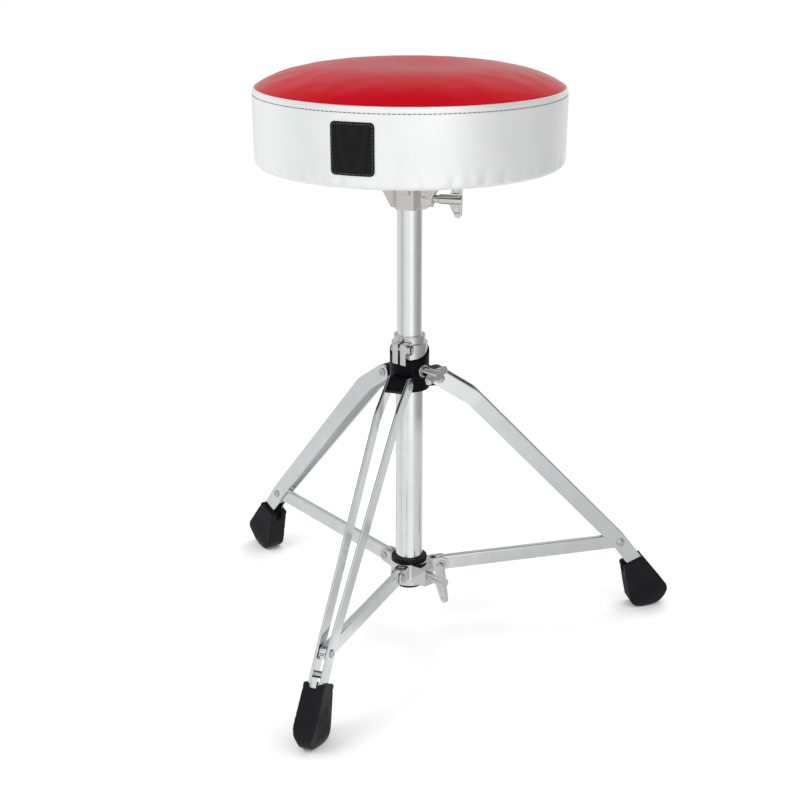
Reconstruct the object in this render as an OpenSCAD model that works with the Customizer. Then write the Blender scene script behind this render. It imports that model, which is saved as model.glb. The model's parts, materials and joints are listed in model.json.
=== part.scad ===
// Drum throne: a round padded seat on a telescoping post, carried by a folding
// double-braced tripod. Millimetres, +Z up, origin on the tube axis at floor level.
// Leg 1 points along -Y; legs 2 and 3 follow at 120 degree steps.

/* [Seat] */
// Radius of the seat at the seam between band and top
seat_r = 153; // [145:1:160]
// Height of the seat's underside above the floor
seat_z = 500; // [495:1:505]
// Height of the upholstered side band
band_h = 69; // [60:1:75]
// Rise of the crowned top above the seam
crown_h = 23; // [18:1:28]
// Thickness of the plywood seat board
board_t = 12.5; // [10:0.5:15]
// Thickness of the vinyl covers
vinyl_t = 2; // [1.5:0.5:2.5]
// Outer radius of the piping cord in the seam
piping_r = 2.3; // [2:0.1:3]

/* [Post and tube] */
// Radius of the sliding seat post
post_r = 12.7; // [12.7:0.1:12.7]
// Wall thickness of the post
post_wall = 1.5; // [1.2:0.1:2]
// Height of the lower end of the post
post_bottom = 120; // [110:1:135]
// Radius of the fixed base tube
tube_r = 14.3; // [14.3:0.1:14.3]
// Wall thickness of the base tube
tube_wall = 1; // [1:0.1:1]
// Height of the lower end of the base tube
tube_bottom = 50; // [48:1:54]
// Height of the upper end of the base tube
tube_top = 298; // [296:1:299]

/* [Legs] */
// Width of a leg strap
strap_w = 17; // [16:0.5:17.5]
// Thickness of a leg strap
strap_t = 2.8; // [2.5:0.1:3]
// Half of the gap between the two straps at the hub
gap_top = 9.2; // [9.1:0.1:9.4]
// Half of the gap between the two straps at the foot
gap_foot = 4.2; // [4.1:0.1:4.4]
// Length of the straight strap below the lower rivet
toe_len = 48; // [44:1:52]

/* [Braces] */
// Height of a brace channel
brace_h = 15; // [13:0.5:15]
// Width of a brace channel
brace_w = 7; // [6.5:0.1:7]
// Sheet thickness of a brace channel
brace_wall = 1.5; // [1.2:0.1:1.6]

/* [Wing bolts] */
// Shank radius of the wing bolts
bolt_r = 4; // [4:0.1:4]
// Distance from the bolt axis to a wing tip on the hub and seat bolts
wing_span = 18; // [15:1:19]
// Distance from the bolt axis to a wing tip on the collar bolt
collar_wing_span = 24; // [20:1:26]
// Thickness of a wing
wing_t = 4.6; // [4:0.2:5]

/* [Hidden] */
$fn = 96;
legs = [1, 2, 3];

run_fit = 0.05;                  // radial clearance of every running fit
hub_pivot = [29.7, 279];         // leg pivot at the hub: radius, height
knee = [64.8, 256];              // upper bend of the leg straps
brace_pivot = [232.9, 78.2];     // lower rivet, where brace and leg meet
collar_pivot = [34.9, 68];       // brace pivot at the collar
toe_angle = -53;                 // slope of the strap below the lower rivet
toe_dir = [cos(toe_angle), sin(toe_angle)];
toe_end = brace_pivot + toe_len * toe_dir;
spacer_at = brace_pivot + 21 * toe_dir;
strap_taper = atan((gap_top - gap_foot) / (brace_pivot[0] - knee[0]));
pin_r = 3;                       // leg pivot pins and lower rivets
collar_pin_r = 2.5;

post_top = 490;
hub_r = 20.4;
hub_bottom = 268;
hub_bolt_z = 290.5;
lug_half = gap_top - 0.2;        // half width of a hub lug between its straps
bolt_angle = -30;                // wing bolts of hub and collar, between legs 1 and 2
seat_bolt_angle = 6;
seat_bolt_z = 465;
collar_bolt_z = 66;
window_r = bolt_r + 0.1;         // windows in tube and bushes for the pressure pads
pad_r = 3.6;

joint_face_z = 309;              // sloping face between hub and memory lock, on the axis
joint_face_tilt = 22;
joint_face_angle = -70;
joint_gap = 0.15;
lock_angle = -94;                // jaws of the memory lock
lock_screw_z = 314.5;
lock_screw_r = 21.5;             // distance of the key screw from the post axis

collar_bottom = 51;
collar_top = 75;
collar_r = 19.5;
ear_in = brace_w / 2 + 0.2;
ear_out = ear_in + 2.6;

seam_z = seat_z + band_h;
board_z = seat_z + vinyl_t;
corner = 11;                     // rounding of the band's lower edge
corner_x = seat_r - 3 - corner;  // centre of that rounding
board_r = corner_x + corner - vinyl_t - 0.8;
piping_axis_r = seat_r - 1.2;
cover_rim = piping_axis_r - piping_r - 0.2;
flange_t = 4;
flange_z = seat_z - 0.5 - flange_t;
screw_circle_r = 38;

function leg_angle(i) = -90 + 120 * (i - 1);
function arc(cx, cy, r, a0, a1, n) =
    [for (k = [0:n]) [cx + r * cos(a0 + (a1 - a0) * k / n), cy + r * sin(a0 + (a1 - a0) * k / n)]];
// Sideways extent [low, high] of the strap on side s (+1 or -1), at half gap g
function strap_span(g, s) = s > 0 ? [g, g + strap_t] : [-g - strap_t, -g];
// Height of the crowned top at radius r, for a crown that starts at radius rim
function crown(r, rim, low, rise) = low + rise * (1 - pow(r / rim, 3.5));

// ---- helpers ----

module at_leg(i) { rotate([0, 0, leg_angle(i)]) children(); }

// A flat bar with round ends between two points of the leg plane
module bar(p, q, w) {
    slope = atan2(q[1] - p[1], q[0] - p[0]);
    steps = 16;
    polygon(concat(
        arc(q[0], q[1], w / 2, slope - 90, slope + 90, steps),
        arc(p[0], p[1], w / 2, slope + 90, slope + 270, steps)
    ));
}

// Thickens a drawing in the leg plane sideways, from y0 to y1
module slab(y0, y1) { translate([0, y1, 0]) rotate([90, 0, 0]) linear_extrude(y1 - y0) children(); }

// A cylinder across the leg plane at point p, from y0 to y1
module cross_pin(p, r, y0, y1) { slab(y0, y1) translate(p) circle(r); }

// A cylinder pointing outwards from the tube axis, from radius r0 to r1
module spoke(angle, z, r, r0, r1) {
    rotate([0, 0, angle]) translate([r0, 0, z]) rotate([0, 90, 0]) cylinder(r = r, h = r1 - r0);
}

module ring(r_in, r_out, z0, z1) {
    translate([0, 0, z0]) difference() {
        cylinder(r = r_out, h = z1 - z0);
        translate([0, 0, -1]) cylinder(r = r_in, h = z1 - z0 + 2);
    }
}

// A domed rivet head at point p that stands out towards side s from y
module dome_head(p, r, h, y, s) {
    ball_r = (r * r + h * h) / (2 * h);
    intersection() {
        translate([p[0], y + s * (h - ball_r), p[1]]) sphere(ball_r);
        translate([p[0], y, p[1]]) rotate([-s * 90, 0, 0]) cylinder(r = r + 1, h = h + 1);
    }
}

// Everything below the sloping face between hub and memory lock, moved up by dz
module below_joint_face(dz) {
    size = 120;
    translate([0, 0, joint_face_z + dz]) rotate([0, 0, joint_face_angle]) rotate([0, joint_face_tilt, 0])
        translate([-size / 2, -size / 2, -size]) cube(size);
}

// A wing bolt along +X: shank from tip to neck, barrel to its end, two wings near the end
module wing_bolt(tip, neck, end, span) {
    wing_len = 15;
    tip_len = 8;
    barrel_r = 5;
    translate([tip, 0, 0]) rotate([0, 90, 0]) cylinder(r = bolt_r, h = neck - tip + 1);
    translate([neck, 0, 0]) rotate([0, 90, 0]) cylinder(r = barrel_r, h = end - neck);
    for (s = [-1, 1]) difference() {
        slab(-wing_t / 2, wing_t / 2) {
            polygon([[end - wing_len, 0], [end, 0], [end, s * (span - 3)], [end - tip_len, s * (span - 3)]]);
            translate([end - tip_len / 2, s * (span - tip_len / 2)]) circle(tip_len / 2);
        }
        for (face = [-1, 1]) slab(face * wing_t / 2 - 1, face * wing_t / 2 + 1)
            polygon([[end - wing_len + 5.5, s * 6.5], [end - 2, s * 6.5], [end - 2, s * (span - 5)],
                     [end - tip_len + 1, s * (span - 5)]]);
    }
}

// ---- base ----

module base_tube() {
    color("gainsboro") difference() {
        ring(tube_r - tube_wall, tube_r, tube_bottom, tube_top);
        spoke(bolt_angle, hub_bolt_z, window_r, 5, tube_r + 2);
    }
}

module tube_end_plug() {
    color("dimgray") {
        translate([0, 0, tube_bottom - 4]) cylinder(r = tube_r, h = 4);
        translate([0, 0, tube_bottom]) cylinder(r = tube_r - tube_wall, h = 12);
    }
}

module tripod_hub() {
    lug_w = 17;
    bore_top = 340;
    color("black") difference() {
        union() {
            translate([0, 0, hub_bottom]) cylinder(r = hub_r, h = 50);
            for (i = legs) at_leg(i) slab(-lug_half, lug_half) {
                bar([10, 279], hub_pivot, lug_w);
                translate([10, 279 - lug_w / 2]) square([24, lug_w / 2]);
            }
            spoke(bolt_angle, hub_bolt_z, 8.5, 12, hub_r + 0.6);
        }
        translate([0, 0, 200]) cylinder(r = tube_r, h = bore_top - 200);
        for (i = legs) at_leg(i) cross_pin(hub_pivot, pin_r + run_fit, -lug_half - 1, lug_half + 1);
        spoke(bolt_angle, hub_bolt_z, 5.6, 10, hub_r + 5);
        spoke(90, 280, pin_r, 10, hub_r + 5);
        difference() {
            translate([0, 0, 270]) cylinder(r = 50, h = 80);
            below_joint_face(-joint_gap);
        }
    }
}

module hub_bush() {
    color("ivory") difference() {
        union() {
            ring(post_r + run_fit, tube_r - tube_wall, 262, tube_top);
            ring(post_r + run_fit, tube_r, tube_top, tube_top + 2.5);
        }
        spoke(bolt_angle, hub_bolt_z, window_r, 5, tube_r + 2);
    }
}

module hub_set_screw() {
    color("silver") difference() {
        spoke(90, 280, pin_r, tube_r, hub_r);
        translate([0, hub_r - 3, 280]) rotate([-90, 0, 0]) cylinder(r = 1.7, h = 4, $fn = 6);
    }
}

module hub_thread_insert() {
    color("silver") difference() {
        union() {
            spoke(bolt_angle, hub_bolt_z, 5.6, tube_r + 1, hub_r + 0.6);
            spoke(bolt_angle, hub_bolt_z, 6.6, hub_r + 0.6, hub_r + 3);
        }
        spoke(bolt_angle, hub_bolt_z, bolt_r + run_fit, tube_r, hub_r + 5);
    }
}

module hub_pressure_pad() { color("peru") spoke(bolt_angle, hub_bolt_z, pad_r, post_r + 0.15, 17); }

module hub_wing_bolt() {
    color("silver") rotate([0, 0, bolt_angle]) translate([0, 0, hub_bolt_z]) rotate([-68, 0, 0])
        wing_bolt(17, 25, 46, wing_span - 3.5);
}

// ---- post ----

module seat_post() { color("gainsboro") ring(post_r - post_wall, post_r, post_bottom, post_top); }

module post_guide_plug() {
    color("ivory") {
        ring(post_r, tube_r - tube_wall - run_fit, post_bottom, post_bottom + 25);
        translate([0, 0, post_bottom - 3]) cylinder(r = tube_r - tube_wall - run_fit, h = 3);
    }
}

module post_top_cap() {
    color("dimgray") {
        translate([0, 0, post_top]) cylinder(r = post_r - 0.3, h = 1);
        translate([0, 0, post_top - 12]) cylinder(r = post_r - post_wall, h = 12);
    }
}

// ---- memory lock ----

module lock_jaw_frame() { rotate([0, 0, lock_angle]) children(); }

module memory_lock() {
    jaw_half = 7.3;
    slot_half = 1.2;
    color("silver") difference() {
        union() {
            translate([0, 0, 290]) cylinder(r = 16.3, h = 35);
            translate([0, 0, 290]) cylinder(r = 18.6, h = 27.5);
            lock_jaw_frame() {
                translate([12, -jaw_half, 290]) cube([15, 2 * jaw_half, 30.5]);
                cross_pin([lock_screw_r, lock_screw_z], 5.6, 0, 12);
            }
        }
        translate([0, 0, 280]) cylinder(r = post_r + run_fit, h = 60);
        lock_jaw_frame() {
            translate([5, -slot_half, 280]) cube([30, 2 * slot_half, 60]);
            cross_pin([lock_screw_r, lock_screw_z], pin_r + run_fit, -20, 20);
            cross_pin([lock_screw_r, lock_screw_z], 4.4, 7, 20);
            translate([lock_screw_r - 4, -jaw_half - 1, lock_screw_z - 4]) cube([8, 4, 8]);
        }
        below_joint_face(joint_gap);
    }
}

module lock_square_nut() {
    color("silver") lock_jaw_frame() difference() {
        translate([lock_screw_r - 4, -7.9, lock_screw_z - 4]) cube([8, 3.6, 8]);
        cross_pin([lock_screw_r, lock_screw_z], pin_r + run_fit, -10, 0);
    }
}

module lock_key_screw() {
    color("silver") lock_jaw_frame() {
        cross_pin([lock_screw_r, lock_screw_z], pin_r, -10, 7.5);
        cross_pin([lock_screw_r, lock_screw_z], 4, 7.1, 8.5);
        translate([lock_screw_r - 2.6, 8.5, lock_screw_z - 2.6]) cube([5.2, 5, 5.2]);
    }
}

// ---- seat ----

module seat_bracket() {
    foot_z = 455;
    wide_rib = [[14, foot_z], [18, foot_z], [27, 471], [45, flange_z], [14, flange_z]];
    short_rib = [[14, 470], [18, 470], [40, flange_z], [14, flange_z]];
    color("rosybrown") difference() {
        union() {
            translate([0, 0, foot_z]) cylinder(r = 18, h = flange_z - foot_z, $fn = 6);
            for (a = [0, 180]) rotate([0, 0, a]) slab(-6, 6) polygon(wide_rib);
            for (a = [90, 270]) rotate([0, 0, a]) slab(-6, 6) polygon(short_rib);
            spoke(seat_bolt_angle, seat_bolt_z, 8.5, 12, 24);
            translate([0, 0, flange_z]) cylinder(r = 50, h = flange_t);
        }
        translate([0, 0, foot_z - 1]) cylinder(r = post_r + run_fit, h = post_top + 2.5 - foot_z);
        spoke(seat_bolt_angle, seat_bolt_z, bolt_r + run_fit, 5, 40);
        for (a = [45:90:315]) rotate([0, 0, a]) translate([screw_circle_r, 0, flange_z - 1])
            cylinder(r = 3, h = flange_t + 2);
    }
}

module at_bracket_screws() {
    for (a = [45:90:315]) rotate([0, 0, a]) translate([screw_circle_r, 0, 0]) children();
}

module bracket_screws() {
    color("silver") at_bracket_screws() {
        translate([0, 0, flange_z - 3.5]) difference() {
            cylinder(r = 5, h = 3.5);
            translate([0, 0, -1]) cylinder(r = 2, h = 3, $fn = 6);
        }
        translate([0, 0, flange_z]) cylinder(r = 3, h = board_z + board_t - flange_z);
    }
}

module bracket_t_nuts() {
    color("silver") at_bracket_screws() {
        ring(3, 3.9, board_z + 2, board_z + board_t - 1.2);
        ring(3, 9, board_z + board_t - 1.2, board_z + board_t);
    }
}

module seat_board() {
    color("burlywood") difference() {
        rotate_extrude() polygon(concat(
            [[0, board_z]],
            arc(corner_x, seat_z + corner, corner - vinyl_t - 0.3, -90, -20, 4),
            [[board_r, board_z + board_t], [0, board_z + board_t]]
        ));
        at_bracket_screws() {
            translate([0, 0, board_z - 1]) cylinder(r = 3, h = board_t + 2);
            translate([0, 0, board_z + 2]) cylinder(r = 3.9, h = board_t);
            translate([0, 0, board_z + board_t - 1.2]) cylinder(r = 9, h = 3);
        }
    }
}

// Radius of the band's outer face at height z: it widens a little towards the seam
function band_r(z) = seat_r - 3 * (seam_z - z) / (band_h - corner);

module seat_foam() {
    foam_bottom = board_z + board_t;
    rim = cover_rim - vinyl_t;
    color("khaki") rotate_extrude() polygon(concat(
        [[0, foam_bottom], [band_r(foam_bottom) - vinyl_t - 0.3, foam_bottom],
         [seat_r - vinyl_t - 0.3, seam_z - 3]],
        [for (k = [0:12]) let (r = rim * cos(7.5 * k))
            [r, crown(r, rim, seam_z + 3, crown_h - 3 - vinyl_t)]]
    ));
}

module seat_top_cover() {
    rim = cover_rim;
    lower = [for (k = [0:12]) let (r = (rim - vinyl_t) * cos(7.5 * k))
        [r, crown(r, rim - vinyl_t, seam_z + 3, crown_h - 3 - vinyl_t)]];
    upper = [for (k = [12:-1:0]) let (r = rim * cos(7.5 * k))
        [r, crown(r, rim, seam_z + 4, crown_h - 4)]];
    color("crimson") rotate_extrude() polygon(concat(lower, upper));
}

module seat_side_band() {
    hem_r = 126;
    outer = arc(corner_x, seat_z + corner, corner, -90, 0, 6);
    inner = arc(corner_x, seat_z + corner, corner - vinyl_t, 0, -90, 6);
    color("white") rotate_extrude() polygon(concat(
        [[hem_r, seat_z]], outer, [[seat_r, seam_z], [seat_r - vinyl_t, seam_z]], inner,
        [[hem_r, seat_z + vinyl_t]]
    ));
}

module seat_piping() {
    color("white") rotate_extrude() translate([piping_axis_r, seam_z + piping_r]) circle(piping_r);
}

module seat_dust_cover() {
    color("black") difference() {
        translate([0, 0, seat_z - 0.5]) cylinder(r = 134, h = 0.5);
        at_bracket_screws() translate([0, 0, seat_z - 1]) cylinder(r = 3, h = 2);
    }
}

module dust_cover_staples() {
    color("silver") for (a = [0:15:345]) rotate([0, 0, a]) translate([130.5, -4.5, seat_z - 1.2])
        cube([1.2, 9, 0.7]);
}

module seat_badge() {
    badge_w = 42;
    badge_h = 48;
    badge_t = 1.4;
    low = seat_z + 13;
    color("black") intersection() {
        rotate_extrude() polygon([[band_r(low), low], [band_r(low) + badge_t, low],
            [band_r(low + badge_h) + badge_t, low + badge_h], [band_r(low + badge_h), low + badge_h]]);
        translate([0, -100, low + badge_h / 2]) rotate([90, 0, 0]) linear_extrude(80) {
            square([badge_w, badge_h - 8], center = true);
            square([badge_w - 8, badge_h], center = true);
            for (x = [-1, 1]) for (y = [-1, 1])
                translate([x * (badge_w / 2 - 4), y * (badge_h / 2 - 4)]) circle(4);
        }
    }
}

module seat_pressure_pad() { color("peru") spoke(seat_bolt_angle, seat_bolt_z, pad_r, post_r + 0.15, 17); }

module seat_wing_bolt() {
    color("silver") rotate([0, 0, seat_bolt_angle]) translate([0, 0, seat_bolt_z])
        wing_bolt(17, 30, 53, wing_span);
}

// ---- collar ----

module lower_collar() {
    block = [[12, -11.5], [33, -6.5], [33, 6.5], [12, 11.5]];
    block_bottom = 55;
    block_top = 74.5;
    color("silver") difference() {
        union() {
            translate([0, 0, collar_bottom]) cylinder(r = collar_r, h = collar_top - collar_bottom);
            rotate([0, 0, bolt_angle]) translate([0, 0, block_bottom])
                linear_extrude(block_top - block_bottom) polygon(block);
            for (i = legs) at_leg(i) difference() {
                slab(-ear_out, ear_out) bar([14, 66], collar_pivot, 15);
                translate([collar_r + 3.5, -ear_in, 50]) cube([40, 2 * ear_in, 40]);
            }
        }
        translate([0, 0, collar_bottom - 1]) cylinder(r = 16.2, h = 40);
        spoke(bolt_angle, collar_bolt_z, bolt_r + run_fit, 10, 40);
        for (i = legs) at_leg(i) cross_pin(collar_pivot, collar_pin_r, -10, 10);
    }
}

module collar_bush() {
    color("black") difference() {
        union() {
            ring(tube_r + run_fit, 16.2, collar_bottom, collar_top + 1);
            ring(tube_r + run_fit, 19, collar_top + 1, collar_top + 5);
        }
        spoke(bolt_angle, collar_bolt_z, window_r, 10, 20);
    }
}

module collar_pins() {
    head_t = 1.2;
    color("silver") for (i = legs) at_leg(i) {
        cross_pin(collar_pivot, collar_pin_r, -ear_out, ear_out);
        dome_head(collar_pivot, 4.4, head_t, -ear_out, -1);
        difference() {
            cross_pin(collar_pivot, 4.2, ear_out, ear_out + head_t);
            cross_pin(collar_pivot, 1.6, ear_out + 0.3, ear_out + head_t + 1);
        }
    }
}

module collar_pressure_pad() { color("peru") spoke(bolt_angle, collar_bolt_z, pad_r, tube_r + 0.15, 18.5); }

module collar_wing_bolt() {
    color("silver") rotate([0, 0, bolt_angle]) translate([0, 0, collar_bolt_z]) rotate([8, 0, 0])
        wing_bolt(18.5, 42, 58, collar_wing_span);
}

// ---- legs ----

// One strap; s is +1 or -1 for the side of the leg plane it runs on
module leg_strap(i, s) {
    y_top = strap_span(gap_top, s);
    y_toe = strap_span(gap_foot, s);
    spot = gap_foot + strap_t;
    color("gainsboro") at_leg(i) difference() {
        union() {
            slab(y_top[0], y_top[1]) bar(hub_pivot, knee, strap_w);
            translate([knee[0], 0, 0]) rotate([0, 0, -s * strap_taper]) translate([-knee[0], 0, 0])
                slab(y_top[0], y_top[1]) bar(knee, brace_pivot, strap_w);
            slab(y_toe[0], y_toe[1]) bar(brace_pivot, toe_end, strap_w);
        }
        cross_pin(hub_pivot, pin_r, -20, 20);
        cross_pin(brace_pivot, pin_r, -20, 20);
        // flat seat for the rivet head
        for (side = [-1, 1]) cross_pin(brace_pivot, 4.9, side > 0 ? spot : -spot - 5, side > 0 ? spot + 5 : -spot);
    }
}

module leg_hub_pin(i) {
    side = gap_top + strap_t;
    color("silver") at_leg(i) {
        cross_pin(hub_pivot, pin_r, -side, side);
        dome_head(hub_pivot, 4.9, 2.6, -side, -1);
        difference() {
            cross_pin(hub_pivot, 4.4, side, side + 1.4);
            cross_pin(hub_pivot, 1.8, side + 0.3, side + 3);
        }
    }
}

// The lower rivet: a stud with a head in each strap, with the brace's bush between them
module leg_brace_rivet(i) {
    side = gap_foot + strap_t;
    color("silver") at_leg(i) {
        cross_pin(brace_pivot, pin_r, -side, -gap_foot);
        cross_pin(brace_pivot, pin_r, gap_foot, side);
        dome_head(brace_pivot, 4.6, 2.3, -side, -1);
        difference() {
            cross_pin(brace_pivot, 4.2, side, side + 1.4);
            cross_pin(brace_pivot, 1.8, side + 0.3, side + 3);
        }
    }
}

module leg_spacer(i) { color("silver") at_leg(i) cross_pin(spacer_at, 3.4, -gap_foot, gap_foot); }

// Outline of a rubber foot in the leg plane: mouth, rounded toe, flat sole, rounded heel
module foot_outline() {
    polygon(concat(
        [[238, 49.5], [259.5, 59.5]],
        arc(271.5, 17.5, 17.5, 25, -90, 7),
        arc(259.5, 14, 14, -90, -175, 6),
        [[243.5, 22]]
    ));
}

module leg_foot(i) {
    top_half = 10.3;
    sole_half = 11.2;
    foot_len = 72;
    mouth_end = 35;
    color("dimgray") at_leg(i) difference() {
        intersection() {
            slab(-20, 20) foot_outline();
            // sideways outline, drawn along the toe of the strap
            translate([brace_pivot[0], 0, brace_pivot[1]]) rotate([0, -toe_angle, 0])
                translate([0, 0, -45]) linear_extrude(90) polygon([
                    [10, -top_half], [foot_len, -sole_half], [foot_len + 8, 1.5 - sole_half],
                    [foot_len + 16, 5 - sole_half], [foot_len + 25, 5 - sole_half],
                    [foot_len + 25, sole_half - 5], [foot_len + 16, sole_half - 5],
                    [foot_len + 8, sole_half - 1.5], [foot_len, sole_half], [10, top_half]
                ]);
        }
        for (s = [-1, 1]) slab(strap_span(gap_foot, s)[0], strap_span(gap_foot, s)[1])
            bar(brace_pivot, toe_end, strap_w);
        // open mouth between the straps
        slab(-gap_foot, gap_foot) translate(brace_pivot) rotate(toe_angle) translate([0, -25])
            square([mouth_end, 50]);
    }
}

// ---- braces ----

// A channel that is closed at the top and open underneath
module brace(i) {
    drop = brace_wall * [(brace_pivot - collar_pivot)[1], -(brace_pivot - collar_pivot)[0]]
        / norm(brace_pivot - collar_pivot);
    color("gainsboro") at_leg(i) difference() {
        slab(-brace_w / 2, brace_w / 2) bar(collar_pivot, brace_pivot, brace_h);
        slab(-brace_w / 2 + brace_wall, brace_w / 2 - brace_wall)
            bar(collar_pivot + drop, brace_pivot + drop, brace_h);
        cross_pin(collar_pivot, collar_pin_r + run_fit, -10, 10);
        cross_pin(brace_pivot, 4, -10, 10);
    }
}

module brace_bush(i) {
    color("silver") at_leg(i) difference() {
        cross_pin(brace_pivot, 4, -gap_foot + 0.2, gap_foot - 0.2);
        cross_pin(brace_pivot, pin_r + run_fit, -10, 10);
    }
}

base_tube();
tube_end_plug();
tripod_hub();
hub_bush();
hub_set_screw();
hub_thread_insert();
hub_pressure_pad();
hub_wing_bolt();
seat_post();
post_guide_plug();
post_top_cap();
memory_lock();
lock_square_nut();
lock_key_screw();
seat_bracket();
bracket_screws();
bracket_t_nuts();
seat_board();
seat_foam();
seat_top_cover();
seat_side_band();
seat_piping();
seat_dust_cover();
dust_cover_staples();
seat_badge();
seat_pressure_pad();
seat_wing_bolt();
lower_collar();
collar_bush();
collar_pins();
collar_pressure_pad();
collar_wing_bolt();
for (i = legs) {
    leg_strap(i, -1);
    leg_strap(i, 1);
    leg_hub_pin(i);
    leg_brace_rivet(i);
    leg_spacer(i);
    leg_foot(i);
    brace(i);
    brace_bush(i);
}
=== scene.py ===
"""Looks of the drum throne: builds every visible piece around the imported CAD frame."""
import json
import math
import random

import bmesh
import bpy
import numpy as np
from mathutils import Matrix, Vector

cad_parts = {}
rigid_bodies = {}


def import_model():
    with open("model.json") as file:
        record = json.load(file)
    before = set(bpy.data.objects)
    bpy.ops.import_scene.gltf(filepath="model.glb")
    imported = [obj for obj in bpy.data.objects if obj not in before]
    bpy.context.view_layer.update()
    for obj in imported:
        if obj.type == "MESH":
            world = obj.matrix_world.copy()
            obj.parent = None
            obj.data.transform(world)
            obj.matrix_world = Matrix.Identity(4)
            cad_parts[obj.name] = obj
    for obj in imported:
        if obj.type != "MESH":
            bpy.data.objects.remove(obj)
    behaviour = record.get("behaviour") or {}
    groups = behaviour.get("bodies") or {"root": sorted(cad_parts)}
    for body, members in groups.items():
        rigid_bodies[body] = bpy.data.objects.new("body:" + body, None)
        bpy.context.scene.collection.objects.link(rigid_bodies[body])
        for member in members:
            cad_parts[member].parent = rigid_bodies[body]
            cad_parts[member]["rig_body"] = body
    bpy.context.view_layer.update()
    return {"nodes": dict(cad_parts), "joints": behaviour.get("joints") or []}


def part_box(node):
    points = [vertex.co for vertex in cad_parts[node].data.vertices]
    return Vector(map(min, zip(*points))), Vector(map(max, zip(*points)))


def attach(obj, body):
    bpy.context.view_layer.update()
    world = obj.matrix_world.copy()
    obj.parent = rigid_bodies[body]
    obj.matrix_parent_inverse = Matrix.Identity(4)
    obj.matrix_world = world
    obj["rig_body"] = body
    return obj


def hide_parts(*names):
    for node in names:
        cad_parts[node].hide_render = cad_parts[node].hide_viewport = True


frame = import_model()
scene = bpy.context.scene
MM = 0.001
NODES = frame["nodes"]
BODY_OF = {n: o["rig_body"] for n, o in NODES.items()}
JOINTS = {j["name"]: j for j in frame["joints"]}
LEG_ANGLES = {1: -90, 2: 30, 3: 150}
rng = random.Random(7)


# ---------- reading the frame ----------

def box_mm(node):
    low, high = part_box(node)
    return [c / MM for c in low], [c / MM for c in high]


def leg_point(joint):
    """Radius and height of a joint of leg 1, which points along -Y."""
    p = JOINTS[joint]["pos_m"]
    return (-p[1] / MM, p[2] / MM)


def leg_centre(node):
    low, high = box_mm(node)
    return (-(low[1] + high[1]) / 2, (low[2] + high[2]) / 2)


HUB_PIVOT = leg_point("leg_1_fold")
COLLAR_PIVOT = leg_point("brace_1_fold")
BRACE_PIVOT = leg_centre("leg_1_brace_rivet")
SPACER_AT = leg_centre("leg_1_spacer")


# ---------- materials ----------

class Shader:
    """A small builder of procedural materials on a Principled BSDF."""

    def __init__(self, name, **values):
        self.material = bpy.data.materials.new(name)
        self.material.use_nodes = True
        self.tree = self.material.node_tree
        self.bsdf = self.tree.nodes["Principled BSDF"]
        self.coords = self.tree.nodes.new("ShaderNodeTexCoord").outputs["Object"]
        self.normal = None
        for key, value in values.items():
            self.bsdf.inputs[key.replace("_", " ")].default_value = value

    def node(self, kind, **props):
        n = self.tree.nodes.new(kind)
        for key, value in props.items():
            setattr(n, key, value)
        return n

    def link(self, source, target):
        self.tree.links.new(source, target)

    def mapped(self, scale):
        n = self.node("ShaderNodeMapping")
        n.inputs["Scale"].default_value = scale
        self.link(self.coords, n.inputs["Vector"])
        return n.outputs["Vector"]

    def noise(self, scale, detail=3, rough=0.5, stretch=None):
        n = self.node("ShaderNodeTexNoise")
        n.inputs["Scale"].default_value = scale
        n.inputs["Detail"].default_value = detail
        n.inputs["Roughness"].default_value = rough
        self.link(self.mapped(stretch) if stretch else self.coords, n.inputs["Vector"])
        return n.outputs["Fac"]

    def voronoi(self, scale):
        n = self.node("ShaderNodeTexVoronoi")
        n.inputs["Scale"].default_value = scale
        self.link(self.coords, n.inputs["Vector"])
        return n.outputs["Distance"]

    def wave(self, scale, direction):
        n = self.node("ShaderNodeTexWave", bands_direction=direction)
        n.inputs["Scale"].default_value = scale
        self.link(self.coords, n.inputs["Vector"])
        return n.outputs["Fac"]

    def height(self):
        n = self.node("ShaderNodeSeparateXYZ")
        self.link(self.coords, n.inputs["Vector"])
        return n.outputs["Z"]

    def math(self, operation, a, b=0.0):
        n = self.node("ShaderNodeMath", operation=operation)
        for i, v in enumerate((a, b)):
            if isinstance(v, (int, float)):
                n.inputs[i].default_value = v
            else:
                self.link(v, n.inputs[i])
        return n.outputs[0]

    def span(self, fac, low, high, from_low=0.0, from_high=1.0):
        n = self.node("ShaderNodeMapRange")
        self.link(fac, n.inputs["Value"])
        n.inputs["From Min"].default_value = from_low
        n.inputs["From Max"].default_value = from_high
        n.inputs["To Min"].default_value = low
        n.inputs["To Max"].default_value = high
        return n.outputs["Result"]

    def colours(self, fac, *stops):
        n = self.node("ShaderNodeValToRGB")
        ramp = n.color_ramp
        while len(ramp.elements) < len(stops):
            ramp.elements.new(0.5)
        for element, (place, colour) in zip(ramp.elements, stops):
            element.position = place
            element.color = (*colour, 1)
        self.link(fac, n.inputs["Fac"])
        return n.outputs["Color"]

    def bump(self, height, depth_mm, strength=1.0):
        n = self.node("ShaderNodeBump")
        n.inputs["Strength"].default_value = strength
        n.inputs["Distance"].default_value = depth_mm * MM
        self.link(height, n.inputs["Height"])
        if self.normal:
            self.link(self.normal, n.inputs["Normal"])
        self.normal = n.outputs["Normal"]
        return self

    def set(self, socket, source):
        self.link(source, self.bsdf.inputs[socket])
        return self

    def done(self):
        if self.normal:
            self.link(self.normal, self.bsdf.inputs["Normal"])
        return self.material


def grey(v, tint=0.0):
    return (v - tint, v, v + tint)


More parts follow.
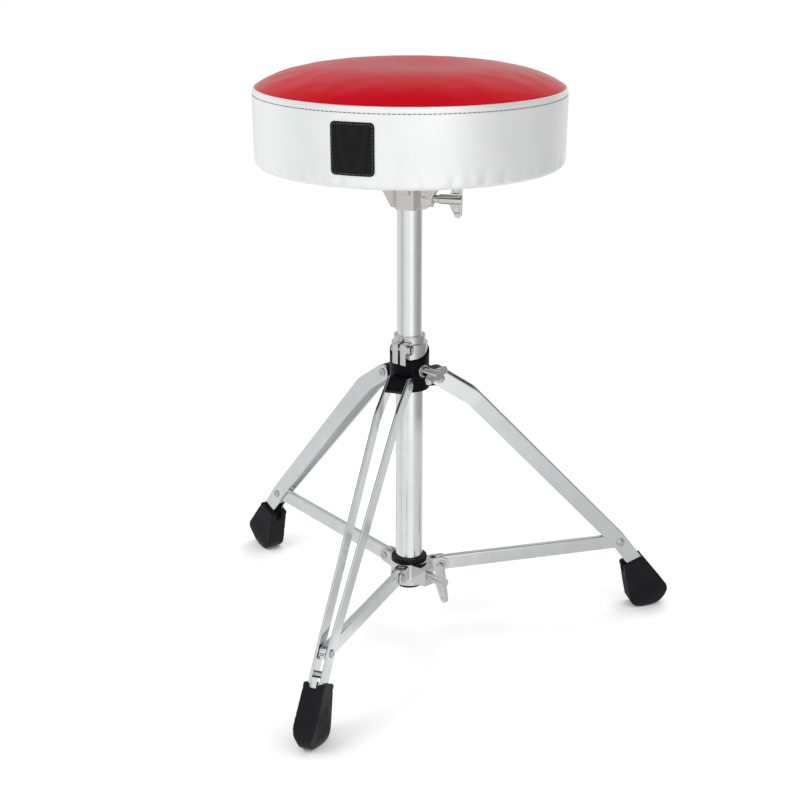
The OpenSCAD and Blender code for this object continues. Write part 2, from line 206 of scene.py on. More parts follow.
def chrome(name, rough_low, rough_high, grain_mm=0.0, stretch=None, tint=0.0, shine=0.9):
    s = Shader(name, Metallic=1.0)
    smudge = s.noise(55, 4, 0.6)
    s.set("Base Color", s.colours(smudge, (0.3, grey(shine - 0.04, tint)), (0.7, grey(shine + 0.03, tint))))
    scratch = s.noise(420, 3, 0.7, stretch or (1, 1, 0.12))
    mixed = s.math("ADD", s.math("MULTIPLY", smudge, 0.6), s.math("MULTIPLY", scratch, 0.4))
    s.set("Roughness", s.span(mixed, rough_low, rough_high, 0.3, 0.7))
    s.bump(scratch, 0.004)
    if grain_mm:
        s.bump(s.noise(480, 4, 0.6), grain_mm)
    return s.done()


def plastic(name, colour, lighter, rough, grain_scale=900, grain_mm=0.03, **values):
    s = Shader(name, **values)
    patch = s.noise(70, 4, 0.6)
    s.set("Base Color", s.colours(patch, (0.3, colour), (0.75, lighter)))
    s.set("Roughness", s.span(patch, rough - 0.06, rough + 0.08, 0.3, 0.7))
    s.bump(s.noise(grain_scale, 5, 0.65), grain_mm)
    return s.done()


def vinyl(name, dark, light, rough, grain_mm, **values):
    s = Shader(name, **values)
    patch = s.noise(16, 5, 0.6)
    s.set("Base Color", s.colours(patch, (0.3, dark), (0.72, light)))
    s.set("Roughness", s.span(patch, rough - 0.04, rough + 0.05, 0.3, 0.7))
    s.bump(s.noise(1700, 2, 0.5), grain_mm)
    s.bump(s.noise(60, 2, 0.5), 0.09, 0.6)
    return s.done()


def woven(name, dark, light, pitch_mm, depth_mm, rough=0.9, sheen=0.2, shine=0.5):
    s = Shader(name, Roughness=rough, Sheen_Weight=sheen, Specular_IOR_Level=shine)
    scale = math.pi / (10 * pitch_mm * MM)
    warp, weft = s.wave(scale, "X"), s.wave(scale, "Y")
    weave = s.math("MULTIPLY", warp, weft)
    fluff = s.noise(300, 4, 0.7)
    mixed = s.math("ADD", s.math("MULTIPLY", weave, 0.6), s.math("MULTIPLY", fluff, 0.4))
    s.set("Base Color", s.colours(mixed, (0.2, dark), (0.8, light)))
    s.bump(weave, depth_mm)
    return s.done()


def rubber():
    s = Shader("foot_rubber", Specular_IOR_Level=0.2)
    patch = s.noise(60, 5, 0.65)
    low = s.span(s.height(), 1, 0, 0.0, 0.006)
    dust = s.math("MULTIPLY", low, s.span(s.noise(240, 4, 0.7), 0.1, 1, 0.35, 0.65))
    base = s.colours(patch, (0.3, (0.004, 0.004, 0.005)), (0.75, (0.009, 0.009, 0.011)))
    mix = s.node("ShaderNodeMix", data_type="RGBA")
    s.link(s.math("MULTIPLY", dust, 0.35), mix.inputs["Factor"])
    s.link(base, mix.inputs["A"])
    mix.inputs["B"].default_value = (0.09, 0.085, 0.08, 1)
    s.set("Base Color", mix.outputs["Result"])
    s.set("Roughness", s.span(patch, 0.5, 0.68, 0.3, 0.7))
    s.bump(s.noise(1100, 4, 0.6), 0.05)
    s.bump(s.noise(130, 2, 0.5), 0.12, 0.5)
    return s.done()


def plywood():
    s = Shader("plywood", Roughness=0.7)
    layer = s.wave(1 / (2.6 * MM) / 20 * math.pi * 2, "Z")
    grain = s.noise(60, 5, 0.65, (1, 8, 1))
    mixed = s.math("ADD", s.math("MULTIPLY", layer, 0.5), s.math("MULTIPLY", grain, 0.5))
    s.set("Base Color", s.colours(mixed, (0.3, (0.24, 0.13, 0.06)), (0.7, (0.52, 0.34, 0.18))))
    s.bump(grain, 0.1)
    return s.done()


def foam():
    s = Shader("foam", Roughness=0.95)
    cell = s.voronoi(700)
    s.set("Base Color", s.colours(cell, (0.1, (0.5, 0.4, 0.18)), (0.7, (0.75, 0.66, 0.4))))
    s.bump(cell, 0.5)
    return s.done()


def cast_alloy():
    s = Shader("cast_bracket", Metallic=0.85)
    patch = s.noise(45, 5, 0.65)
    s.set("Base Color", s.colours(patch, (0.3, (0.66, 0.625, 0.6)), (0.7, (0.78, 0.75, 0.73))))
    s.set("Roughness", s.span(patch, 0.34, 0.46, 0.3, 0.7))
    s.bump(s.noise(420, 5, 0.7), 0.08)
    return s.done()


def brass():
    s = Shader("brass_pad", Metallic=1.0)
    patch = s.noise(120, 4, 0.6)
    s.set("Base Color", s.colours(patch, (0.3, (0.62, 0.42, 0.16)), (0.7, (0.78, 0.56, 0.24))))
    s.set("Roughness", s.span(patch, 0.28, 0.42))
    s.bump(s.noise(900, 3, 0.6), 0.01)
    return s.done()


MATERIALS = {
    "chrome_tube": chrome("chrome_tube", 0.04, 0.09, tint=0.005),
    "chrome_strap": chrome("chrome_strap", 0.09, 0.16, 0.01, (1, 1, 0.3), 0.007, 0.79),
    "chrome_cast": chrome("chrome_cast", 0.07, 0.15, 0.015, (1, 1, 1), shine=0.7),
    "steel_hardware": chrome("steel_hardware", 0.12, 0.22, 0.01, (1, 1, 1), shine=0.62),
    "cast_bracket": cast_alloy(),
    "brass_pad": brass(),
    "black_moulding": plastic("black_moulding", (0.002, 0.002, 0.003), (0.005, 0.005, 0.006), 0.3,
                              Specular_IOR_Level=0.08),
    "black_nylon": plastic("black_nylon", (0.003, 0.003, 0.004), (0.007, 0.007, 0.008), 0.4,
                           Specular_IOR_Level=0.14),
    "natural_nylon": plastic("natural_nylon", (0.72, 0.68, 0.56), (0.8, 0.77, 0.66), 0.45),
    "foot_rubber": rubber(),
    "plywood": plywood(),
    "foam": foam(),
    "red_vinyl": vinyl("red_vinyl", (0.4, 0.0, 0.006), (0.46, 0.0, 0.01), 0.22, 0.02,
                       Specular_IOR_Level=0.16),
    "white_vinyl": vinyl("white_vinyl", (0.84, 0.843, 0.846), (0.9, 0.903, 0.906), 0.3, 0.018,
                         Metallic=0.55, Coat_Weight=0.1, Coat_Roughness=0.2),
    "black_fabric": woven("black_fabric", (0.008, 0.008, 0.009), (0.03, 0.03, 0.032), 0.9, 0.12),
    "black_badge": woven("black_badge", (0.004, 0.004, 0.005), (0.009, 0.009, 0.01), 0.7, 0.015,
                         rough=0.6, sheen=0.0, shine=0.2),
}


def thread_cotton(name, dark, light):
    s = Shader(name, Roughness=0.75, Sheen_Weight=0.2)
    twist = s.noise(2600, 2, 0.5)
    s.set("Base Color", s.colours(twist, (0.3, dark), (0.7, light)))
    s.bump(twist, 0.08)
    return s.done()


SEAM_THREAD = thread_cotton("seam_thread", (0.03, 0.03, 0.032), (0.09, 0.09, 0.095))
BADGE_THREAD = thread_cotton("badge_thread", (0.05, 0.05, 0.052), (0.12, 0.12, 0.125))
SLOT_OF = {n: m.name for n, o in NODES.items() for m in o.data.materials[:1]}


# ---------- mesh helpers (shapes are drawn in millimetres) ----------

def add_piece(name, verts, faces, slot, body, nodes=(), material=None, smooth=True):
    mesh = bpy.data.meshes.new(name)
    mesh.from_pydata([tuple(c * MM for c in v) for v in verts], [], faces)
    mesh.update()
    mesh.polygons.foreach_set("use_smooth", [smooth] * len(mesh.polygons))
    mesh.materials.append(material or MATERIALS[slot])
    piece = bpy.data.objects.new(name, mesh)
    scene.collection.objects.link(piece)
    bm = bmesh.new()
    bm.from_mesh(mesh)
    bmesh.ops.recalc_face_normals(bm, faces=bm.faces)
    bm.to_mesh(mesh)
    bm.free()
    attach(piece, body)
    if nodes:
        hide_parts(*nodes)
    return piece


def even_shading(piece):
    """Flat faces stay flat next to their rounded edges."""
    m = piece.modifiers.new("even_shading", "WEIGHTED_NORMAL")
    m.mode = "FACE_AREA"
    m.weight = 80
    m.keep_sharp = True
    return piece


def join(*shapes):
    verts, faces = [], []
    for v, f in shapes:
        base = len(verts)
        verts += list(v)
        faces += [tuple(i + base for i in face) for face in f]
    return verts, faces


def soften(points, radius, steps=4, closed=False):
    """Rounds the corners of a drawn line. radius is one number or one for each point."""
    n = len(points)
    radii = radius if isinstance(radius, (list, tuple)) else [radius] * n
    out = []
    for i, p in enumerate(points):
        if (not closed and i in (0, n - 1)) or radii[i] <= 0:
            out.append(tuple(p))
            continue
        p = Vector(p)
        a, b = Vector(points[i - 1]) - p, Vector(points[(i + 1) % n]) - p
        turn = a.angle(b)
        if turn > math.pi - 0.01:
            out.append(tuple(p))
            continue
        reach = min(radii[i] / math.tan(turn / 2), a.length * 0.49, b.length * 0.49)
        start, end = p + a.normalized() * reach, p + b.normalized() * reach
        for k in range(steps + 1):
            t = k / steps
            out.append(tuple(start.lerp(p, t).lerp(p.lerp(end, t), t)))
    return out


def lathe(profile, segments=96, closed=False, origin=(0, 0, 0), axis=(0, 0, 1)):
    """Turns a line of (radius, height) points round an axis."""
    axis = Vector(axis).normalized()
    side = axis.orthogonal().normalized() if abs(axis.z) < 0.999 else Vector((1, 0, 0))
    other = axis.cross(side)
    verts, rings = [], []
    for r, h in profile:
        centre = Vector(origin) + axis * h
        if r < 1e-6:
            rings.append([len(verts)])
            verts.append(centre)
            continue
        rings.append(list(range(len(verts), len(verts) + segments)))
        for k in range(segments):
            a = 2 * math.pi * k / segments
            verts.append(centre + side * (r * math.cos(a)) + other * (r * math.sin(a)))
    faces = []
    pairs = list(zip(rings, rings[1:])) + ([(rings[-1], rings[0])] if closed else [])
    for low, high in pairs:
        for k in range(segments):
            n = (k + 1) % segments
            face = [low[k % len(low)], low[n % len(low)], high[n % len(high)], high[k % len(high)]]
            face = list(dict.fromkeys(face))
            if len(face) > 2:
                faces.append(tuple(face))
    return [tuple(v) for v in verts], faces


def loft(sections):
    """Joins closed loops of the same number of points, and closes both ends."""
    n = len(sections[0])
    verts = [tuple(p) for section in sections for p in section]
    faces = [tuple(range(n)), tuple(reversed(range(len(verts) - n, len(verts))))]
    for i in range(len(sections) - 1):
        for k in range(n):
            a, b = i * n + k, i * n + (k + 1) % n
            faces.append((a, b, b + n, a + n))
    return verts, faces


def turned(shape, angle):
    """A shape drawn with +X outwards, put at an angle round the tube axis."""
    spin = Matrix.Rotation(math.radians(angle), 3, "Z")
    return [tuple(spin @ Vector(v)) for v in shape[0]], shape[1]


def cad_copy(node, name):
    """A copy of a CAD mesh with its doubled points merged, to be reworked."""
    bm = bmesh.new()
    bm.from_mesh(NODES[node].data)
    bmesh.ops.remove_doubles(bm, verts=bm.verts, dist=2e-6)
    mesh = bpy.data.meshes.new(name)
    bm.to_mesh(mesh)
    bm.free()
    piece = bpy.data.objects.new(name, mesh)
    scene.collection.objects.link(piece)
    return piece


def freeze(piece):
    """Applies all modifiers of a piece."""
    graph = bpy.context.evaluated_depsgraph_get()
    mesh = bpy.data.meshes.new_from_object(piece.evaluated_get(graph))
    piece.modifiers.clear()
    piece.data = mesh
    return piece


def finish_copy(piece, node):
    piece.data.materials.clear()
    piece.data.materials.append(MATERIALS[SLOT_OF[node]])
    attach(piece, BODY_OF[node])
    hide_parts(node)
    return piece


def cast(node, voxel=0.6, smooth=3, shape=None):
    """A cast or moulded piece: the CAD shape with the soft edges that a mould gives."""
    piece = cad_copy(node, node + "_cast")
    m = piece.modifiers.new("mould", "REMESH")
    m.mode, m.voxel_size, m.adaptivity = "VOXEL", voxel * MM, 0
    m = piece.modifiers.new("soften", "SMOOTH")
    m.factor, m.iterations = 0.5, smooth
    freeze(piece)
    if shape:
        n = len(piece.data.vertices)
        co, no = np.empty(n * 3), np.empty(n * 3)
        piece.data.vertices.foreach_get("co", co)
        piece.data.vertex_normals.foreach_get("vector", no)
        co, no = co.reshape(-1, 3), no.reshape(-1, 3)
        co += no * (shape(co / MM, no) * MM)[:, None]
        piece.data.vertices.foreach_set("co", co.ravel())
    piece.data.polygons.foreach_set("use_smooth", [True] * len(piece.data.polygons))
    return finish_copy(piece, node)


def bevelled(node, width=0.4, segments=2):
    """A machined or folded piece: the CAD shape with small rounded edges."""
    piece = cad_copy(node, node + "_edged")
    bm = bmesh.new()
    bm.from_mesh(piece.data)
    bmesh.ops.dissolve_limit(bm, angle_limit=math.radians(0.6), verts=bm.verts, edges=bm.edges)
    bm.to_mesh(piece.data)
    bm.free()
    m = piece.modifiers.new("edges", "BEVEL")
    m.width, m.segments = width * MM, segments
    m.limit_method, m.angle_limit = "ANGLE", math.radians(35)
    m.use_clamp_overlap = True
    piece.data.polygons.foreach_set("use_smooth", [True] * len(piece.data.polygons))
    even_shading(piece)
    return finish_copy(piece, node)


def smoothstep(x):
    x = np.clip(x, 0, 1)
    return x * x * (3 - 2 * x)


# ---------- tubes, rings and bushes ----------

def tube(node, radius, wall, name):
    low, high = box_mm(node)
    edge = 0.35
    profile = [(radius, low[2]), (radius, high[2]), (radius - wall, high[2]), (radius - wall, low[2])]
    profile = soften(profile, edge, 3, closed=True)
    shape = lathe(profile, 144, closed=True)
    return even_shading(add_piece(name, *shape, SLOT_OF[node], BODY_OF[node], [node]))


TUBE_R = box_mm("base_tube")[1][0]
POST_R = box_mm("seat_post")[1][0]
tube("base_tube", TUBE_R, 1.0, "base_tube_chromed")
tube("seat_post", POST_R, 1.5, "seat_post_chromed")


def plug_and_bushes():
    low, high = box_mm("tube_end_plug")
    plug = [(0, low[2]), (TUBE_R, low[2]), (TUBE_R, low[2] + 4), (TUBE_R - 1, low[2] + 4),
            (TUBE_R - 1, high[2]), (0, high[2])]
    shape = lathe(soften(plug, [0, 1.6, 0.3, 0.2, 0.6, 0]), 96)
    even_shading(add_piece("tube_end_plug_moulded", *shape, "black_nylon", "base", ["tube_end_plug"]))
    low, high = box_mm("collar_bush")
    ring_r = high[0]
    step = high[2] - 4
    bush = [(TUBE_R + 0.05, low[2]), (16.2, low[2]), (16.2, step), (ring_r, step),
            (ring_r, high[2]), (TUBE_R + 0.05, high[2])]
    shape = lathe(soften(bush, [0.3, 0.3, 0, 0.5, 1.3, 0.6], closed=True), 128, closed=True)
    even_shading(add_piece("collar_bush_moulded", *shape, "black_nylon", "collar", ["collar_bush"]))


plug_and_bushes()


# ---------- castings and mouldings ----------

def hub_relief(co, no):
    """Parting lines of the mould, down the front and the back."""
    angle = np.degrees(np.arctan2(co[:, 1], co[:, 0]))
    radius = np.hypot(co[:, 0], co[:, 1])
    line = 0.0 * radius
    for seam in (-78, 102):
        off = np.radians((angle - seam + 180) % 360 - 180) * radius
        line += 0.35 * np.exp(-((off / 0.55) ** 2)) * (radius > 18.5) * (np.abs(no[:, 2]) < 0.5)
    return line


cast("tripod_hub", 0.55, 3, hub_relief)
cast("memory_lock", 0.45, 2)
cast("lower_collar", 0.5, 3)
cast("seat_bracket", 0.7, 3)
for bolt in ("hub_wing_bolt", "collar_wing_bolt", "seat_wing_bolt"):
    cast(bolt, 0.36, 3)
bevelled("lock_key_screw", 0.5, 3)
bevelled("lock_square_nut", 0.3)
bevelled("bracket_screws", 0.3)
bevelled("hub_set_screw", 0.25)
bevelled("hub_thread_insert", 0.5, 3)


def screw_thread(name, bolt, start, end, radius=4.02, pitch=1.25, depth=0.4):
    """The visible turns of thread on a wing bolt's shank, between two distances from the axis."""
    turn = JOINTS[bolt + "_turn"]
    axis = Vector(turn["axis"]).normalized()
    base = Vector((0, 0, turn["pos_m"][2] / MM))
    side = axis.orthogonal().normalized()
    other = axis.cross(side)
    around, per_turn = 40, 8
    rows = int((end - start) / pitch * per_turn)
    sections = []
    for i in range(rows + 1):
        along = start + (end - start) * i / rows
        loop = []
        for k in range(around):
            phase = (along / pitch - k / around) % 1
            r = radius - depth * abs(2 * phase - 1)
            a = 2 * math.pi * k / around
            loop.append(base + axis * along + side * (r * math.cos(a)) + other * (r * math.sin(a)))
        sections.append(loop)
    return add_piece(name, *loft(sections), "steel_hardware", bolt)


screw_thread("seat_bolt_thread", "seat_bolt", 19, 30.2)
screw_thread("hub_bolt_thread", "hub_bolt", 19, 25.2)
screw_thread("collar_bolt_thread", "collar_bolt", 20, 42.2)


# ---------- legs ----------

KNEE = (64.8, 256.0)            # upper bend of the straps
STRAP_W, STRAP_T = 17.0, 2.8
GAP_TOP, GAP_FOOT = 9.2, 4.2    # half gaps between the two straps
TOE_ANGLE, TOE_LEN = -53.0, 48.0
BRACE_H, BRACE_W, BRACE_WALL = 15.0, 7.0, 1.5
TOE_END = (BRACE_PIVOT[0] + TOE_LEN * math.cos(math.radians(TOE_ANGLE)),
           BRACE_PIVOT[1] + TOE_LEN * math.sin(math.radians(TOE_ANGLE)))


def resample(points, step):
    out = [Vector(points[0])]
    for a, b in zip(points, points[1:]):
        a, b = Vector(a), Vector(b)
        n = max(1, round((b - a).length / step))
        out += [a.lerp(b, (k + 1) / n) for k in range(n)]
    return out


def rounded_rectangle(half_w, half_t, corner, steps=3):
    corner = min(corner, half_w * 0.9, half_t * 0.9)
    loop = []
    for cx, cy, start in ((1, 1, 0), (-1, 1, 90), (-1, -1, 180), (1, -1, 270)):
        for k in range(steps + 1):
            a = math.radians(start + 90 * k / steps)
            loop.append((cx * (half_w - corner) + corner * math.cos(a),
                         cy * (half_t - corner) + corner * math.sin(a)))
    return loop


def strap_shape(side):
    """A flat bar bent at the knee, with round ends; it closes in sideways towards the foot."""
    bent = soften([HUB_PIVOT, KNEE, BRACE_PIVOT, TOE_END], [0, 30, 70, 0], 14)
    path = resample(bent, 4)
    half = STRAP_W / 2
    reach = [half * math.sin(math.radians(90 * k / 8)) for k in range(8)] + [half - 0.02]
    first, last = (path[0] - path[1]).normalized(), (path[-1] - path[-2]).normalized()
    stations = [(path[0] + first * d, math.sqrt(max(half * half - d * d, 0.01))) for d in reversed(reach[1:])]
    stations += [(p, half) for p in path]
    stations += [(path[-1] + last * d, math.sqrt(max(half * half - d * d, 0.01))) for d in reach[1:]]
    sections = []
    for i, (p, half_w) in enumerate(stations):
        ahead = stations[min(i + 1, len(stations) - 1)][0] - stations[max(i - 1, 0)][0]
        ahead.normalize()
        across = Vector((-ahead[1], ahead[0]))
        share = (p[0] - KNEE[0]) / (BRACE_PIVOT[0] - KNEE[0])
        near_end = not 0.04 < share < 0.96      # the gap changes evenly, and softly at both ends
        closed_in = float(smoothstep(share)) if near_end else share
        y = side * (GAP_TOP + (GAP_FOOT - GAP_TOP) * closed_in + STRAP_T / 2)
        sections.append([(p[0] + across[0] * u, y + v, p[1] + across[1] * u)
                         for u, v in rounded_rectangle(half_w, STRAP_T / 2, 0.75)])
    return loft(sections)


def brace_shape():
    """A channel folded from sheet, open underneath, with round ends."""
    start, end = Vector(COLLAR_PIVOT), Vector(BRACE_PIVOT)
    ahead = (end - start).normalized()
    up = Vector((-ahead[1], ahead[0]))
    length, half, w = (end - start).length, BRACE_H / 2, BRACE_W / 2
    reach = [half * math.sin(math.radians(90 * k / 8)) for k in range(8)] + [half - 0.3]
    places = [(-d) for d in reversed(reach[1:])]
    places += [length * k / 24 for k in range(25)]
    places += [length + d for d in reach[1:]]
    sections = []
    for s in places:
        over = max(-s, s - length, 0)
        h = math.sqrt(max(half * half - over * over, 0.01))
        wall = BRACE_WALL
        floor = min(-h + wall, h - 0.4)
        outer = soften([(-w, h), (-w, -h), (w, -h), (w, h), (w - wall, h), (w - wall, floor),
                        (-w + wall, floor), (-w + wall, h)],
                       [0.3, min(1.9, h * 0.8), min(1.9, h * 0.8), 0.3, 0.3, 0.6, 0.6, 0.3], 4, closed=True)
        centre = start + ahead * s
        sections.append([(centre[0] - up[0] * v, u, centre[1] - up[1] * v) for u, v in outer])
    return loft(sections)


def rivet(at, profile):
    """A pin across the leg: profile is (radius, sideways place)."""
    return lathe(profile, 40, origin=(at[0], 0, at[1]), axis=(0, 1, 0))


def dome(side, radius, height, sign=-1):
    """A domed head that stands out from the strap, from its edge to its middle."""
    line = [(radius, side + sign * 0.25)]
    for degrees in range(8, 81, 12):
        a = math.radians(degrees)
        line.append((radius * math.cos(a), side + sign * (0.35 + (height - 0.35) * math.sin(a))))
    return line + [(0, side + sign * height)]


def hollow_end(side, radius, height, hole):
    """The rolled-over tube end of a rivet, with its hole."""
    end, deep = side + height, side + 0.4
    corners = [(radius, side), (radius, end), (hole, end), (hole, deep), (0, deep)]
    return soften(corners, [0, 0.6, 0.5, 0.3, 0])


def leg_hardware(i):
    body = f"leg_{i}"
    angle = LEG_ANGLES[i]

    def add_turned(node, shape):
        shape = turned(shape, angle)
        even_shading(add_piece(node + "_turned", *shape, "steel_hardware", body, [node]))

    for key, side in (("a", -1), ("b", 1)):
        node = f"leg_{i}_strap_{key}"
        shape = turned(strap_shape(side), angle)
        even_shading(add_piece(node + "_bent", *shape, "chrome_strap", body, [node]))
    out = GAP_TOP + STRAP_T
    low_side = list(reversed(dome(-out, 4.9, 2.6)))
    pin = low_side + [(3, -out), (3, out)] + hollow_end(out, 4.4, 1.4, 1.8)
    add_turned(f"leg_{i}_hub_pin", rivet(HUB_PIVOT, pin))
    out = GAP_FOOT + STRAP_T
    headed = list(reversed(dome(-out, 4.6, 2.3))) + [(3, -out), (3, -GAP_FOOT), (0, -GAP_FOOT)]
    rolled = [(0, GAP_FOOT), (3, GAP_FOOT), (3, out)] + hollow_end(out, 4.2, 1.4, 1.8)
    add_turned(f"leg_{i}_brace_rivet", join(rivet(BRACE_PIVOT, headed), rivet(BRACE_PIVOT, rolled)))
    sleeve = soften([(0, -GAP_FOOT), (3.4, -GAP_FOOT), (3.4, GAP_FOOT), (0, GAP_FOOT)], [0, 0.35, 0.35, 0])
    add_turned(f"leg_{i}_spacer", rivet(SPACER_AT, sleeve))
    node = f"brace_{i}"
    even_shading(add_piece(node + "_folded", *turned(brace_shape(), angle), "chrome_strap", node, [node]))


def collar_pins():
    ear = BRACE_W / 2 + 0.2 + 2.6
    head = list(reversed(dome(-ear, 4.4, 1.2))) + [(2.5, -ear), (2.5, ear)] + hollow_end(ear, 4.2, 1.2, 1.6)
    shapes = [turned(rivet(COLLAR_PIVOT, head), a) for a in LEG_ANGLES.values()]
    even_shading(add_piece("collar_pins_turned", *join(*shapes), "steel_hardware", "collar", ["collar_pins"]))


def foot_relief(angle):
    """Rim round the mouth with a groove behind it, grip ribs across the sides and fine flutes at the toe end.
    """
    spin = Matrix.Rotation(math.radians(-angle), 3, "Z")
    to_leg = np.array(spin)
    toe = np.array((math.cos(math.radians(TOE_ANGLE)), math.sin(math.radians(TOE_ANGLE))))

    def shape(co, no):
        local, normal = co @ to_leg.T, no @ to_leg.T
        from_pivot = local[:, [0, 2]] - np.array(BRACE_PIVOT)
        along, across = from_pivot @ toe, from_pivot @ np.array((-toe[1], toe[0]))
        outward = smoothstep((along - 10.0) / 3.0)
        mouth = along - 26.0 - 0.2 * (across + 11)
        rim = 0.3 * (1 - smoothstep((mouth - 3.6) / 2.2)) * (np.abs(local[:, 1]) > 7.4)
        groove = -0.3 * np.exp(-(((mouth - 6.6) / 1.1) ** 2)) * (np.abs(local[:, 1]) > 7.4)
        sides = smoothstep((np.abs(normal[:, 1]) - 0.75) / 0.2)
        field = smoothstep((local[:, 2] - 6) / 4) * smoothstep((38 - local[:, 2]) / 5)
        inner = smoothstep((local[:, 0] - 249) / 5) * smoothstep((282 - local[:, 0]) / 6)
        ribs = 0.5 * np.cos(local[:, 2] * 2 * math.pi / 4.6) * sides * field * inner
        front = smoothstep((np.abs(normal[:, 0]) - 0.4) / 0.3)
        flutes = 0.18 * np.cos(local[:, 1] * 2 * math.pi / 4.4) * front * smoothstep((along - 34) / 6)
        return outward * (rim + groove + ribs + flutes * (local[:, 2] > 8))
    return shape


for leg, leg_angle in LEG_ANGLES.items():
    leg_hardware(leg)
    cast(f"leg_{leg}_foot", 0.75, 10, foot_relief(leg_angle))
collar_pins()


# ---------- seat ----------

SEAT_LOW = box_mm("seat_side_band")[0][2]          # underside of the seat
SEAM_Z = box_mm("seat_side_band")[1][2]            # seam between band and welt strip
SEAT_R = box_mm("seat_side_band")[1][0]
TOP_Z = box_mm("seat_top_cover")[1][2]
EDGE_R, EDGE_Z = SEAT_R - 2.6, SEAM_Z + 6.9        # where red meets white
CROWN = TOP_Z - EDGE_Z + 2.2
FLATNESS = 5.6                                     # higher is a flatter top with rounder shoulders
TAPER = 0.8                                        # how much narrower the band is at its foot
CORNER, CORNER_X = 6.8, SEAT_R - 7.6
HEM_R = 126.0
SEGMENTS, COLUMNS = 180, 360                       # round the seat: in the simulation, in the pieces


def seat_rows():
    """The cushion's outline from the middle of the top to the hem underneath, with what each row is."""
    rows = [("top", r, EDGE_Z + CROWN * (1 - (r / EDGE_R) ** FLATNESS))
            for r in np.linspace(0.8, EDGE_R - 3.2, 36)]
    rows += [("top", EDGE_R - 1.7, EDGE_Z + 0.75), ("top", EDGE_R - 0.6, EDGE_Z + 0.1),
             ("crease", EDGE_R - 0.2, EDGE_Z - 1.0)]
    rows += [("strip", EDGE_R + 0.55, EDGE_Z - 0.9), ("strip", EDGE_R + 1.15, EDGE_Z - 1.9),
             ("strip", EDGE_R + 1.75, EDGE_Z - 3.4), ("strip", EDGE_R + 2.2, EDGE_Z - 5.0),
             ("strip", EDGE_R + 2.25, EDGE_Z - 6.2), ("seam", EDGE_R + 1.75, SEAM_Z - 0.2),
             ("strip", EDGE_R + 2.35, SEAM_Z - 0.95)]
    corner_z = SEAT_LOW + CORNER
    slope = TAPER / (SEAM_Z - corner_z)
    rows += [("band", SEAT_R - slope * (SEAM_Z - z), z) for z in np.linspace(SEAM_Z - 3, corner_z, 17)]
    rows += [("corner", CORNER_X + CORNER * math.cos(a), corner_z + CORNER * math.sin(a))
             for a in np.radians(np.linspace(-11, -90, 8))]
    rows += [("under", r, SEAT_LOW) for r in np.linspace(CORNER_X - 4, HEM_R, 3)]
    rows += [("closing", r, SEAT_LOW + 1.0) for r in (90.0, 45.0, 1.0)]
    return rows


ROWS = seat_rows()
KINDS = [k for k, _, _ in ROWS]


def seat_grid():
    angles = np.linspace(0, 2 * math.pi, SEGMENTS, endpoint=False)
    grid = np.empty((len(ROWS), SEGMENTS, 3))
    for i, (_, r, z) in enumerate(ROWS):
        grid[i, :, 0], grid[i, :, 1], grid[i, :, 2] = r * np.cos(angles), r * np.sin(angles), z
    return grid


def grid_faces(rows, around, start_cap=False, end_cap=False):
    faces = []
    for i in range(rows - 1):
        for k in range(around):
            n = (k + 1) % around
            faces.append((i * around + k, (i + 1) * around + k, (i + 1) * around + n, i * around + n))
    if start_cap:
        faces.append(tuple(range(around)))
    if end_cap:
        faces.append(tuple(reversed(range((rows - 1) * around, rows * around))))
    return faces


def refined(grid):
    """The same surface with more columns, without the jitter of single points."""
    waves = np.fft.rfft(grid, axis=1)
    waves[:, 30:] = 0
    return np.fft.irfft(waves, n=COLUMNS, axis=1) * (COLUMNS / SEGMENTS)


def puckers(grid):
    """Small gathers along the lower edge, where the vinyl is pulled round the board."""
    angles = np.linspace(0, 2 * math.pi, COLUMNS, endpoint=False)
    push = np.zeros(grid.shape[:2])
    heights = np.array([z for _, _, z in ROWS])
    a = 0.0
    while a < 2 * math.pi:
        width = rng.uniform(0.016, 0.03)
        depth = rng.uniform(0.35, 1.6)
        tall = rng.uniform(6, 14)
        lean = rng.uniform(-0.002, 0.002)
        centre = a + lean * (heights[:, None] - SEAT_LOW)
        off = (angles[None, :] - centre + math.pi) % (2 * math.pi) - math.pi
        fade = np.exp(-(((heights[:, None] - SEAT_LOW - 4.5) / tall) ** 2))
        push -= depth * np.exp(-((off / width) ** 2)) * fade
        a += rng.uniform(0.05, 0.16)
    soft = np.array([{"band": 1.0, "corner": 1.0, "under": 0.35}.get(k, 0.0) for k in KINDS])
    return push * soft[:, None]


